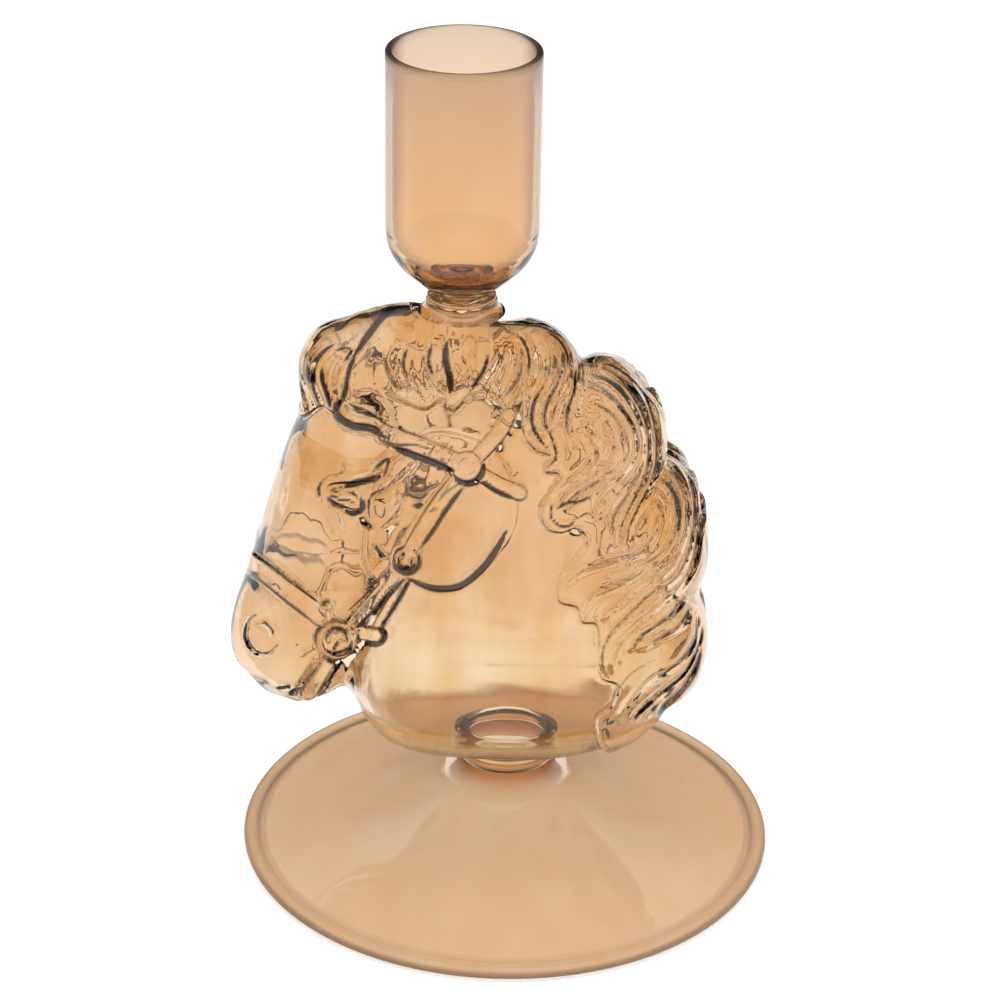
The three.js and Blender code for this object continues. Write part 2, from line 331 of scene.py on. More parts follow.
# Hair: families of guide curves, with finer strands filled in between neighbours.
# Each is (depth, guides).
HAIR = [
    # front tuft, falling over the brow
    (0.9, [
        [(-29, 91), (-34.5, 89.5), (-37, 86), (-37.5, 83), (-36.5, 78.5), (-35.5, 74.5)],
        [(-29.5, 89.5), (-34, 88), (-36.3, 84.5), (-36.3, 81), (-35, 77.5), (-34, 74)],
        [(-28, 88.5), (-32.5, 86.5), (-35, 83.5), (-35.3, 80.5), (-34, 77.5), (-32.5, 74.5)],
        [(-27, 87), (-31, 84.5), (-33, 82), (-33, 79.5), (-32, 77), (-31, 75)],
        [(-25.5, 85.5), (-28, 82.5), (-28.7, 80.5), (-29, 78.5), (-29.3, 76.5), (-29.5, 75)],
    ]),
    # tufts under the poll
    (0.9, [
        [(-20.5, 91.5), (-23, 86.5), (-25.5, 83), (-27, 80.5), (-27, 77.5), (-26, 76)],
        [(-17.5, 91), (-20, 86.5), (-21.5, 83), (-20.5, 80.5), (-19.5, 78.5), (-18, 77.5)],
        [(-15.5, 91), (-17.5, 86.5), (-18.5, 83), (-18, 80), (-16.5, 78), (-15, 76)],
        [(-13, 91), (-14, 86.5), (-14.5, 83), (-13.7, 80), (-12.7, 78), (-12, 77)],
        [(-11, 90.5), (-11.5, 86.5), (-11, 83), (-10.3, 80), (-10.3, 78), (-10.5, 76)],
        [(-8, 90.5), (-8, 87.5), (-8.5, 85), (-7.5, 82.5), (-8.5, 79), (-10, 76.5)],
        [(-4.5, 90.5), (-4, 87.5), (-3.5, 84.5), (-4.5, 82), (-5.5, 80), (-7, 78)],
        [(-2.5, 90), (-0.5, 87), (0.5, 84), (0, 81.5), (-1, 79), (-2, 76.5)],
        [(-1, 90), (1, 86.5), (2, 83.5), (1.5, 80.5), (0, 78), (-1.5, 75.5)],
    ]),
    # first fall of the mane
    (0.9, [
        [(0, 90), (3.5, 86.5), (5, 83), (4.5, 79.5), (3, 76.5), (3, 73), (4, 70.5), (6, 68.5)],
        [(2, 90.5), (5.5, 87), (6.5, 83), (5.5, 79.5), (4.2, 76.5), (3.8, 73), (5, 70.5),
         (6.5, 68.5)],
        [(3, 91), (7, 87), (8, 83), (7, 79.5), (5.5, 76), (5.2, 73), (6.8, 70), (7.2, 66.5)],
        [(5, 90.5), (8.5, 87.5), (9.5, 83), (9, 79), (7.5, 76), (7, 73), (8.3, 70), (9, 67)],
        [(6.5, 89.5), (9.7, 86.5), (10.7, 83), (10.5, 79), (9.5, 76), (9, 73), (9.7, 71),
         (10.5, 69)],
    ]),
    # second fall, sweeping round to a long point
    (0.9, [
        [(11.5, 84.5), (16, 83.5), (20.5, 80.5), (23.5, 75.5), (24.5, 69.5), (24, 64),
         (21.5, 59), (20, 55.5), (19.5, 51.5)],
        [(12, 83), (16, 82), (19.5, 79), (22, 74.5), (23, 69.5), (22.5, 64.5),
         (20.5, 60), (18.7, 56), (18.5, 52)],
        [(12, 81.5), (16, 80), (19, 77), (21, 73.5), (22, 69.5), (21, 65),
         (18.5, 61.5), (16.7, 59), (16.5, 56)],
        [(12, 79), (15.5, 77.5), (18, 75), (20, 72), (20.5, 68.5), (19, 65.5),
         (16, 62.5), (14.3, 60), (15, 57)],
    ]),
    # its inner strands, ending in the curl
    (0.9, [
        [(11.5, 76.5), (14.5, 75.5), (17, 73.5), (18, 70.5), (18.5, 67.5), (17, 65),
         (13.5, 63), (10.5, 60.7), (9, 59)],
        [(11.5, 74.5), (14, 73.5), (15.5, 71), (16.5, 69), (15.7, 67), (14, 65),
         (11, 63), (8.7, 61.3), (7.2, 59.5)],
        [(11, 72), (12.5, 70.5), (13.5, 68.7), (13.7, 67.5), (13, 66), (11.5, 64.5),
         (9.5, 62.8), (7.7, 61.2), (6.3, 59.8)],
    ]),
    # third fall, behind
    (0.9, [
        [(25.5, 70.5), (29.5, 68.5), (32.5, 64.5), (33, 59.5), (32, 54.5), (31.5, 50.5),
         (30, 47), (27.5, 43.5)],
        [(25.5, 69), (29, 66.5), (31, 63), (31.5, 59), (31, 54.5), (30, 50.5),
         (28.5, 47.5), (25.5, 45)],
        [(25, 67), (27.5, 65), (29.5, 61.5), (30, 58.5), (29.5, 54.5), (28.5, 51),
         (26.5, 48), (23.5, 46.5)],
        [(25, 64), (27, 62), (28, 59), (28, 55.5), (26.8, 52.7), (25, 50.5),
         (23, 49.3), (21, 48.5)],
        [(24, 60.5), (25.3, 58), (25, 55), (23.5, 52.5), (21, 51), (17.5, 50), (13, 48.7),
         (9.5, 46)],
    ]),
    # lower locks, sweeping forward
    (0.9, [
        [(23.5, 49), (20.5, 47), (17, 45.5), (14.5, 44.5), (13, 42.5), (12.5, 40.5)],
        [(24.5, 47.5), (21.5, 45.5), (19, 43), (17.3, 41.3), (16.3, 40.5), (15.5, 40)],
        [(26.5, 46), (23.5, 44), (20, 40.5), (17, 37), (16, 33), (17.3, 29.5)],
        [(29, 45), (25.5, 42.3), (21.5, 39), (18.7, 36), (17.5, 33), (17.5, 30.5)],
        [(30.5, 44), (27.5, 40.5), (24.5, 38.5), (22.5, 37), (21.3, 35.7), (20.5, 34.5)],
        [(31.5, 42.5), (30, 39.5), (27.5, 37.5), (24.5, 36), (23, 35.4), (21.5, 35)],
    ]),
    # last locks, at the back of the chest
    (0.8, [
        [(32.5, 41), (32.5, 37), (30.5, 33.5), (28, 31.5), (25, 30), (22.5, 27.5), (20.5, 25),
         (19, 22)],
        [(33.5, 39), (32.7, 35), (31, 31.5), (28.5, 29), (26, 27), (23.5, 25), (22, 23.5),
         (21, 22)],
        [(33.5, 36), (32.5, 32), (31.5, 30), (30.5, 28.5), (29.5, 27.2), (28.5, 26), (27.3, 24.7),
         (26, 23.5)],
    ]),
]


GROOVE_WIDTH = 2.0
GROOVE_DEPTH = 1.15
FILL_INS = 1  # finer strands between each two guides
FINE_STRAND = 0.38  # their share of a guide's depth


def between(guides):
    """Every strand of a family, each with whether it is a guide or a finer one."""
    curves = []
    for a, b in zip(guides[:-1], guides[1:]):
        a, b = np.array(a, float), np.array(b, float)
        for i in range(FILL_INS + 1):
            t = i / (FILL_INS + 1)
            curves.append((a * (1 - t) + b * t, i == 0))
    curves.append((np.array(guides[-1], float), True))
    return curves


# Outlines of the raised masses of hair, on the drawing board
MANE_EDGE = [
    (-2.5, 90.5), (1.5, 87), (2.7, 83.5), (2.2, 79.5), (1.6, 75), (2, 71), (4, 68.5), (6.5, 67.5),
    (5.5, 65), (8, 64.5), (6.5, 61.5), (5, 58.5), (6, 55.5), (8.5, 54.7), (11, 55.5), (13, 53.5),
    (11, 50), (8.5, 46.5), (8.5, 43), (11.5, 42), (12.5, 39.5), (15, 39), (15.5, 34), (16, 30),
    (19, 28.5), (18, 25), (15.5, 21.5), (20, 15), (40, 20), (42, 60), (36, 95), (5, 98),
]
FORELOCK_EDGE = [
    (-14, 98), (-15, 93), (-20, 92.7), (-23, 90.5), (-26, 86), (-28, 82), (-28.6, 78), (-29.6, 74.2),
    (-32, 75.3), (-35.5, 73.7), (-39, 76), (-41, 88), (-33, 97),
]
POLL_EDGE = [
    (-15, 93.5), (-20, 92.3), (-23, 89.5), (-26.5, 84.5), (-28.3, 80), (-28, 76.3), (-24, 74.3),
    (-20, 71.2), (-20, 74), (-21.5, 77.3), (-18, 76), (-14.5, 75), (-12, 76.5), (-10, 74.8),
    (-7.5, 77), (-5, 77.5), (-2.5, 75.5), (1, 76), (3, 82), (2, 88), (-2, 95),
]
# Lines of painted shade, where the real glass folds the light away: (width, strength, points)
DARK_LINES = [
    # forelock and poll
    (1.3, 1.0, [(-14.5, 92.5), (-19.5, 92.5), (-22, 90.5), (-24.5, 87), (-26.5, 84)]),
    (1.0, 0.8, [(-26.3, 84.3), (-27.5, 81), (-28, 77.5), (-29, 75)]),
    (1.5, 1.0, [(-29.5, 76.3), (-29.2, 73.6), (-26.5, 72), (-23.5, 71.6), (-21, 70)]),
    (0.8, 0.8, [(-27, 75.2), (-25.2, 74.3), (-22.7, 73.5), (-20.5, 72)]),
    (0.9, 0.8, [(-34.5, 89), (-36, 86), (-36.4, 82.5), (-35.6, 79.5)]),
    (0.8, 0.8, [(-33.5, 81), (-33.6, 79), (-33, 77), (-32.2, 75.2)]),
    (1.0, 0.9, [(-32, 81.5), (-31.8, 79.3), (-31, 77), (-30.4, 75)]),
    (0.7, 0.7, [(-30, 84.5), (-28, 85), (-26.8, 84.3)]),
    (1.3, 0.9, [(-11.3, 86.5), (-11.3, 83), (-10.5, 80), (-10.5, 77.5)]),
    (0.9, 0.7, [(-13.8, 85.5), (-14.2, 83), (-13.3, 80.3)]),
    (0.8, 0.7, [(-17.8, 85), (-18.4, 82.5), (-17.6, 80)]),
    (0.8, 0.6, [(-21.3, 84), (-21, 81), (-19.8, 79), (-18.5, 78.2)]),
    (0.9, 0.7, [(-4.3, 84.5), (-4.8, 82), (-6, 80), (-7, 78.3)]),
    (0.8, 0.6, [(1.5, 83.3), (1, 81), (0, 79), (-1.2, 77.3)]),
    # bridle
    (1.4, 1.0, [(-19.8, 68.6), (-16.5, 67.3), (-13, 66.1), (-9.5, 64.6)]),
    (0.5, 0.7, [(-22, 70), (-19.5, 69), (-16, 68.9), (-12, 67.9)]),
    (1.2, 1.0, [(-9.8, 64), (-8.3, 62.9), (-6.4, 63), (-5, 64.4), (-4.7, 66.2)]),
    (0.9, 1.0, [(-5, 63.2), (-2.6, 61.6), (0.3, 60.4)]),
    (0.9, 0.8, [(-8.2, 62), (-10.5, 58.8), (-13, 54.8), (-15.2, 51.8)]),
    (0.5, 0.6, [(-10.5, 63.5), (-13, 60.3), (-16, 55.3), (-18, 52)]),
    (0.9, 1.0, [(-19.7, 50.3), (-19.4, 48.3), (-17.4, 47.3), (-15.5, 48.7), (-15.5, 50.8)]),
    (1.1, 0.9, [(-17.8, 46.5), (-20.6, 43.6), (-23.7, 40), (-26.6, 37.4)]),
    (0.9, 0.8, [(-16.9, 46.3), (-19, 42.6), (-21.5, 38.6)]),
    (0.5, 0.7, [(-20.3, 48.6), (-24, 44.3), (-28, 40.3)]),
    (1.1, 0.9, [(-26, 35.2), (-24, 34.7), (-22, 35.1), (-21.3, 36.7), (-22.3, 38.1)]),
    (1.0, 0.9, [(-32.2, 32.2), (-30.4, 31.2), (-27.9, 32.1), (-26.2, 34.2), (-26.1, 36.7)]),
    (0.6, 0.9, [(-31.8, 34.9), (-31.3, 36.6), (-29.9, 37.2), (-28.5, 36.6), (-28, 34.9)]),
    (0.6, 0.8, [(-33.5, 34.2), (-33.5, 36.2), (-32.5, 38)]),
    (0.7, 0.9, [(-46.6, 47.7), (-41.6, 44.5), (-37.5, 41.3), (-34.2, 38.8)]),
    (0.4, 0.6, [(-45.5, 51.3), (-41, 48.7), (-36, 45), (-32, 42)]),
    # muzzle
    (0.5, 0.7, [(-45.7, 36.3), (-45.3, 38.4), (-43.4, 39.9)]),
    (0.5, 0.8, [(-45.6, 36.5), (-45.4, 34.6), (-43.8, 32.8), (-41.7, 32.8), (-39.8, 34.7)]),
    (0.5, 0.8, [(-43.8, 38), (-42.2, 38), (-41, 36.7), (-40.9, 35.3)]),
    (0.8, 0.5, [(-34.2, 31.3), (-36, 28.5), (-38, 25.7)]),
    (0.7, 0.6, [(-30, 31.2), (-31.6, 28.5), (-33.7, 25.3)]),
    (0.8, 0.8, [(-27.4, 35), (-27.9, 32.3), (-28.6, 29.3)]),
    # eye
    (0.56, 0.9, [(-31.8, 62.8), (-32.5, 61.2), (-31.8, 59.3)]),
    (1.28, 1, [(-28.2, 61.7), (-25.8, 62.6), (-23.8, 63.1), (-21.8, 63.7)]),
    (0.48, 0.9, [(-30.8, 60.7), (-29, 59.8), (-27.3, 59.5), (-26, 59)]),
    (0.48, 0.9, [(-30.4, 61.3), (-28.4, 60.7), (-26.7, 60.8), (-25.6, 59.8)]),
    (1.04, 0.8, [(-31, 60), (-29.5, 58.8), (-27.7, 58.4)]),
    (1.04, 1, [(-27.9, 57.8), (-26.5, 57.4), (-25, 58.3), (-25.2, 60.3)]),
    (0.72, 0.8, [(-23.2, 64.5), (-21.8, 66), (-20.4, 66.8)]),
    (0.64, 0.7, [(-20.4, 66.8), (-20.9, 65.2), (-21.4, 63.6)]),
    (0.45, 0.8, [(-16, 66.7), (-18.5, 63.7), (-21.3, 61.7), (-23.5, 60.5), (-24, 58.5),
                 (-23.7, 56.5)]),
    (0.45, 0.7, [(-18.2, 61), (-18.7, 58.5), (-20.2, 56.5), (-22, 55)]),
    (1.04, 0.7, [(-25.7, 56.9), (-24.5, 55.9), (-23.3, 55)]),
    (0.72, 0.9, [(-23.2, 52.4), (-22.3, 51), (-20.8, 49.8)]),
    # cheek
    (1.3, 1.0, [(-17.6, 46.6), (-14.5, 45.3), (-11.5, 44.8), (-8, 45.6), (-4.6, 48.5),
                (-2.3, 51.8), (-0.6, 55.2)]),
    # mane
    (0.75, 0.85, [(4.9, 79), (3.4, 76), (3.2, 73.2), (4.3, 70.7), (6, 68.6)]),
    (0.61, 0.76, [(8.2, 82.5), (7.2, 79.3), (5.7, 76.3), (5.3, 73.3), (6.7, 70.3), (7.4, 67.5),
                  (6.1, 65.8)]),
    (0.61, 0.66, [(10.5, 82), (10.3, 79), (9.4, 76), (9, 73), (9.7, 70.5)]),
    (0.61, 0.76, [(5, 89), (7.8, 87), (9, 84.5), (9.3, 82)]),
    (0.61, 0.66, [(9.5, 86.7), (11.3, 84.3), (11.8, 81.5), (11.7, 79)]),
    (0.48, 0.85, [(11.5, 84.5), (16, 83.5), (20.5, 80.5), (23.5, 75.5), (24.5, 69.5), (24, 64),
                  (21.5, 59), (20, 55.5), (19.5, 51.5)]),
    (0.45, 0.76, [(15, 82.3), (19.3, 79), (22, 74.5), (23, 69.5), (22.5, 64.5), (20.5, 60),
                  (18.7, 56), (18.5, 52)]),
    (0.75, 0.66, [(13.5, 80), (17, 77.3), (19.5, 74), (20.7, 71.5)]),
    (0.54, 0.66, [(15.8, 64.3), (13.2, 62.6), (10.3, 60.8), (8.7, 58.8)]),
    (0.68, 0.76, [(13.5, 61), (11.5, 60), (9.3, 59.8), (7.6, 58.6)]),
    (0.54, 0.85, [(7, 59.7), (6.6, 57.7), (8.2, 55.9), (10.3, 56.2), (10.7, 58)]),
    (0.61, 0.57, [(20.8, 63), (18.7, 60), (17.3, 57.5), (17.2, 55)]),
    (0.48, 0.76, [(25.5, 70.5), (29.5, 68.5), (32.5, 64.5), (33, 59.5), (32, 54.5), (31.5, 50.5),
                  (30, 47)]),
    (0.45, 0.66, [(25.3, 69), (29, 66.5), (31, 63), (31.5, 59), (31, 54.5), (30, 50.5),
                  (28.5, 47.5), (25.5, 45)]),
    (0.45, 0.57, [(25, 64), (27, 62), (28, 59), (28, 55.5), (26.8, 52.7), (24, 50)]),
    (0.45, 0.57, [(24, 52.5), (21, 51), (17.5, 50), (13, 48.7), (9.7, 46.3)]),
    (0.48, 0.57, [(23.5, 49), (20.5, 47), (17, 45.5), (14.5, 44.5), (13, 42.5)]),
    (0.54, 0.66, [(26.5, 46), (23.5, 44), (20, 40.5), (17, 37), (16, 33), (17.3, 29.5)]),
    (0.61, 0.76, [(30.5, 44), (27.5, 40.5), (24.5, 38.5), (22.5, 37), (20.5, 34.5)]),
    (0.54, 0.76, [(31.5, 42.5), (30, 39.5), (27.5, 37.5), (24.5, 36)]),
    (0.54, 0.76, [(32.5, 41), (32.5, 37), (30.5, 33.5), (28, 31.5), (25, 30)]),
    (0.45, 0.57, [(25, 33), (22, 31.5), (20, 29.5), (18, 26.5)]),
    (0.48, 0.66, [(31.5, 31.5), (29, 29), (26, 27), (23.5, 25)]),
]
SLOPE_SHADE = 0.3
BACK_SHADE = 0.55  # the lines are fainter on the far flank
RIM_SHADE = 0.42  # round the stem's opening
ROSETTE = (-7.5, 65.5)
BIT = (-29.9, 35.2)
BUCKLE = (-17.5, 49.5)


def carve_hair(relief):
    relief.plateau(MANE_EDGE, 1.3, 0.7)
    relief.plateau(POLL_EDGE, 1.0, 0.7)
    relief.plateau(FORELOCK_EDGE, 1.2, 0.7)
    for depth, guides in HAIR:
        for curve, is_guide in between(guides):
            share = 1.0 if is_guide else FINE_STRAND
            relief.groove(curve, GROOVE_WIDTH * (0.6 + 0.4 * share), GROOVE_DEPTH * depth * share)
    # the forelock's last lock, an S that sweeps over the browband
    relief.ridge([(-27.5, 80), (-28.8, 76), (-28, 73.2), (-25, 72.3), (-22, 71.7), (-20, 70.3)],
                 2.6, 0.9)
    # the curl in the second fall
    relief.ring((8.4, 57.9), 1.7, 1.3, 1.0)


def carve_face(relief):
    # the cheek's round plate, standing proud of the neck
    relief.plateau([(-24, 47), (-17.5, 46.3), (-13, 44.6), (-8, 45), (-3.5, 49), (0.3, 54.5),
                    (1, 60), (-1, 66), (-6, 70), (-14, 71), (-20, 66), (-24, 58)], 1.2, 0.9)
    # eye: a ball between two lids, under a brow
    relief.dome((-28.3, 60.4), (3.8, 2.4), -8, 1.2)
    relief.ridge([(-32.3, 61.5), (-30, 63), (-26.5, 63.3), (-23, 63.8)], 2.0, 1.0)
    relief.groove([(-31, 61.7), (-29, 62.2), (-26, 62.4), (-22.3, 63)], 1.4, 0.9)
    relief.groove([(-31.8, 60.4), (-30.3, 59.2), (-28.7, 58.3), (-26, 57.8), (-24.6, 59.3)], 1.3, 0.9)
    relief.groove([(-31.8, 62.8), (-32.5, 61.2), (-32, 59.3)], 0.9, 0.8)
    relief.ridge([(-28.5, 65), (-25, 65), (-22.3, 65.3), (-20, 67)], 2.2, 0.8)
    relief.groove([(-23.3, 64.2), (-21.8, 65.8), (-20.3, 66.8)], 1.2, 0.9)
    relief.groove([(-20.3, 66.8), (-20.9, 65), (-21.5, 63.3)], 1.0, 0.8)
    # temple and the bump behind the eye
    relief.dome((-21, 58.8), (3.2, 3.6), 0, 0.8)
    relief.groove([(-16, 66.7), (-18.5, 63.7), (-21.3, 61.7), (-23.5, 60.5), (-24, 58.5),
                   (-23.7, 56.5)], 1.0, 0.7)
    relief.groove([(-19.7, 61.7), (-19.3, 60), (-19.7, 58.7)], 0.9, 0.6)
    relief.groove([(-18.2, 61), (-18.7, 58.5), (-20.2, 56.5), (-22, 55)], 0.9, 0.6)
    relief.groove([(-25.7, 56.7), (-24.5, 55.7), (-23.3, 55)], 1.3, 0.9)
    relief.ridge([(-31, 58.3), (-29.7, 56), (-28.8, 53.5)], 2.2, 0.5)
    relief.groove([(-23, 52.2), (-22.2, 51), (-21, 50)], 1.1, 0.9)
    # nostril: a round swelling with an open hollow
    relief.dome((-43, 36), (4.8, 4.8), 0, 1.0)
    relief.dome((-42.7, 35.9), (2.4, 2.4), 0, 0.7)
    relief.groove([(-44.7, 39.3), (-45.5, 37.3), (-45.6, 35), (-44, 32.8), (-41.7, 32.7),
                   (-39.8, 34.7)], 1.1, 0.9)
    relief.groove([(-44, 37.8), (-42.3, 38.1), (-41, 36.8), (-40.9, 35.3)], 1.1, 1.0)
    # lips and chin
    relief.groove([(-33.9, 31.8), (-35.7, 28.7), (-38.2, 25.3)], 1.5, 1.3)
    relief.groove([(-40.6, 26.4), (-38.7, 27), (-37, 26)], 1.0, 0.6)
    relief.groove([(-29.7, 31.5), (-31.5, 28.5), (-33.7, 25)], 1.3, 1.0)
    relief.groove([(-27.4, 35), (-27.9, 32.3), (-28.5, 29.5)], 1.1, 1.0)
    relief.dome((-30.3, 29.3), (2.6, 3), -20, 0.8)


def carve_bridle(relief):
    strap = 3.0
    proud = 1.3
    relief.band([(-21, 70.7), (-14, 68.3), ROSETTE], strap, proud + 1.2)
    relief.band([ROSETTE, (-3, 70.3), (-0.7, 74)], 2.6, proud + 1.1)
    relief.band([ROSETTE, (-2, 62.6), (1.3, 61.3)], 2.6, proud + 1.1)
    relief.band([(-9, 63), (-13.3, 57.3), (-16.6, 51.5)], strap, proud + 1.1)
    relief.disc(ROSETTE, 2.6, 3.3)
    relief.disc(ROSETTE, 1.6, 3.7)
    relief.band([(-19, 48), (-23, 42.8), (-27.2, 37.8)], 2.5, proud)
    relief.band([(-17.7, 47), (-20, 42.7), (-22.7, 38)], 1.6, 0.8 * proud)
    relief.band([(-26, 36.7), (-22.8, 36.5)], 2.6, 2.0)
    relief.ring(BUCKLE, 1.9, 1.3, 2.8)
    relief.disc(BUCKLE, 1.0, 2.4)
    relief.band([(-52, 52.3), (-46.5, 49.3)], 3.5, 0.35)
    relief.band([(-46, 49), (-41.5, 46.3), (-36.5, 42.6), (-32.5, 39.5)], 3.5, proud)
    relief.disc((-31.3, 41.3), 0.8, 1.8)
    relief.band([(-30.9, 32.3), (-32.7, 29.3), (-35.4, 25.1)], 2.3, 0.9)
    relief.disc(BIT, 3.5, 1.5)
    relief.ring(BIT, 2.9, 1.5, 2.2)
    relief.groove([(-31.8, 34.9), (-31.3, 36.6), (-29.9, 37.2), (-28.5, 36.6), (-28, 34.9)],
                  0.9, 0.9)


def blur(field, sigma):
    """Gaussian blur of a grid, sigma in voxels."""
    reach = int(math.ceil(3 * sigma))
    weights = np.exp(-0.5 * (np.arange(-reach, reach + 1) / sigma) ** 2)
    weights = (weights / weights.sum()).astype(np.float32)
    for axis in range(3):
        padded = np.pad(field, [(reach, reach) if a == axis else (0, 0) for a in range(3)], "edge")
        total = np.zeros_like(field)
        for i, weight in enumerate(weights):
            cut = [slice(None)] * 3
            cut[axis] = slice(i, i + field.shape[axis])
            total += weight * padded[tuple(cut)]
        field = total
    return field


def sample(grid, p):
    """Values of a grid between its points."""
    q = (p - GRID_LOW) / VOXEL
    q = np.clip(q, 0, np.array(grid.shape) - 1.001)
    i = q.astype(int)
    f = q - i
    value = np.zeros(len(p))
    for corner in np.ndindex(2, 2, 2):
        weight = np.prod(np.where(corner, f, 1 - f), axis=1)
        value += weight * grid[i[:, 0] + corner[0], i[:, 1] + corner[1], i[:, 2] + corner[2]]
    return value


class Bust:
    """The blown shell as a distance field that can be read at any point."""

    def __init__(self):
        self.relief = Relief()
        carve_face(self.relief)
        carve_bridle(self.relief)
        carve_hair(self.relief)
        # painted shade lines go into the shade attribute
        for width, strength, points in DARK_LINES:
            self.relief.paint_shade_line(points, width, strength)
        self.relief.finish()
        self.body = body_field()
        xs, ys, zs = grid_axes()
        points = np.stack(np.meshgrid(xs, ys, zs, indexing="ij"), -1).reshape(-1, 3)
        near = self.body.ravel() < 6
        outer = self.body.ravel().copy()
        outer[near] -= self.relief.at(points[near])
        self.inner = blur(outer.reshape(self.body.shape), INNER_BLUR / VOXEL)
        self.inner += unevenness(*np.meshgrid(xs, ys, zs, indexing="ij")).astype(np.float32)
        self.grid = outer
        self.grid[near] = self.shell(points[near])
        self.grid = self.grid.reshape(self.body.shape)

    def shell(self, p):
        outer = sample(self.body, p) - self.relief.at(p)
        outer = smooth_max(outer, BUST_BOTTOM - p[:, 2], 0.8)
        weld_room = np.maximum(np.hypot(p[:, 0] - CUP_X, p[:, 1]) - WELD_ROOM, BUST_TOP - p[:, 2])
        outer = smooth_max(outer, -weld_room, 0.6)
        hollow = sample(self.inner, p) + WALL
        bore = np.maximum(np.hypot(p[:, 0], p[:, 1]) - STEM_BORE, p[:, 2] - BORE_TOP)
        hollow = smooth_min(hollow, bore, 1.0)
        return smooth_max(outer, -hollow, 0.5)


def unevenness(x, y, z):
    """How much the inside of the blown wall wanders, in mm."""
    slow = np.sin(0.31 * x + 0.9) * np.sin(0.27 * z + 0.11 * x) + np.sin(0.23 * z + 0.37 * y)
    quick = np.sin(0.9 * x + 0.5 * z) * np.sin(0.75 * z - 0.6 * x + 0.8 * y)
    return (0.16 * slow + 0.05 * quick) * smooth_step((z - 30) / 30)


def surface_nets(grid):
    """Vertices in grid steps and quads of the surface where a grid is zero, negative inside."""
    inside = grid < 0
    cells = np.array(grid.shape) - 1
    count = np.zeros(cells.prod())
    total = np.zeros((3, cells.prod()))
    quads = []
    for axis in range(3):
        first = [slice(None)] * 3
        second = [slice(None)] * 3
        first[axis], second[axis] = slice(None, -1), slice(1, None)
        a, b = grid[tuple(first)], grid[tuple(second)]
        start = np.argwhere(inside[tuple(first)] != inside[tuple(second)])
        u, v = [i for i in range(3) if i != axis]
        inner = (start[:, [u, v]] > 0) & (start[:, [u, v]] < cells[[u, v]])
        start = start[inner.all(1)]
        va, vb = a[tuple(start.T)], b[tuple(start.T)]
        point = start.astype(float)
        point[:, axis] += va / (va - vb)
        ring = []
        for du, dv in ((0, 0), (1, 0), (1, 1), (0, 1)):
            cell = start.copy()
            cell[:, u] -= du
            cell[:, v] -= dv
            ids = np.ravel_multi_index(tuple(cell.T), cells)
            ring.append(ids)
            count += np.bincount(ids, minlength=len(count))
            for i in range(3):
                total[i] += np.bincount(ids, point[:, i], minlength=len(count))
        ring = np.stack(ring, 1)
        flip = (va < 0) == (axis == 1)
        ring[flip] = ring[flip][:, ::-1]
        quads.append(ring)
    used = np.flatnonzero(count)
    number = np.zeros(len(count), int)
    number[used] = np.arange(len(used))
    return (total[:, used] / count[used]).T, number[np.vstack(quads)]


def bust_mesh():
    """The bust's vertices in mm, its quads, and how dark the stain is at each vertex."""
    bust = Bust()
    vertices, quads = surface_nets(bust.grid)
    p = vertices * VOXEL + GRID_LOW
    start = p.copy()
    step = 0.05
    for _ in range(3):
        value = bust.shell(p)
        slope = np.stack([bust.shell(p + step * axis) - value for axis in np.eye(3)], 1) / step
        move = -value[:, None] * slope / np.maximum((slope**2).sum(1), 0.25)[:, None]
        p = start + np.clip(p + move - start, -VOXEL, VOXEL)
    shade = bust.relief.at(p, bust.relief.shade)
    skin = sample(bust.body, p) - bust.relief.at(p) > -0.6
    shade[p[:, 1] > 0] *= BACK_SHADE
    # painted shade: the stem's opening is darkened at its front and back
    rim = smooth_step((np.abs(p[:, 0]) - 5.5) / 2) * smooth_step(9 - np.hypot(p[:, 0], p[:, 1]))
    rim *= RIM_SHADE
    return p, quads, np.maximum(np.where(skin, shade, 0), rim * (p[:, 2] < 24))


def make_object(name, points, faces):
    """A smooth-shaded object from points in mm about the foot's centre."""
    mesh = bpy.data.meshes.new(name)
    points = np.asarray(points) * MM
    points[:, 0] += FOOT_CENTRE.x
    points[:, 1] += FOOT_CENTRE.y
    mesh.from_pydata(points.tolist(), [], np.asarray(faces).tolist())
    mesh.update()
    mesh.shade_smooth()
    piece = bpy.data.objects.new(name, mesh)
    bpy.context.scene.collection.objects.link(piece)
    return piece


def paint(piece, name, values):
    """Stores a value from 0 to 1 at each vertex: shade is painted shade that darkens the colour, soft a
    rougher skin.
    """
    piece.data.attributes.new(name, "FLOAT", "POINT").data.foreach_set("value", values)


# ---- Turned pieces ----------------------------------------------------------------------------
def turn(name, profile, x=0.0, segments=160):
    """A closed (radius, height) profile turned about an upright axis at x."""
    profile = np.asarray(profile, float)
    rows = len(profile)
    angle = np.linspace(0, 2 * math.pi, segments, endpoint=False)
    points = np.stack([
        x + profile[None, :, 0] * np.cos(angle)[:, None],
        profile[None, :, 0] * np.sin(angle)[:, None],
        np.broadcast_to(profile[None, :, 1], (segments, rows)),
    ], -1).reshape(-1, 3)
    i, j = np.meshgrid(np.arange(segments), np.arange(rows), indexing="ij")
    k, m = (i + 1) % segments, (j + 1) % rows
    faces = np.stack([i * rows + j, k * rows + j, k * rows + m, i * rows + m], -1).reshape(-1, 4)
    return make_object(name, points, faces)


AXIS = 0.02  # radius that stands for the axis, so that a turned piece stays closed


def arc(cx, cz, radius, start, end, count=8):
    """Points of an arc, angles in degrees from +radius towards +height."""
    a = np.radians(np.linspace(start, end, count))
    return [(cx + radius * math.cos(t), cz + radius * math.sin(t)) for t in a]


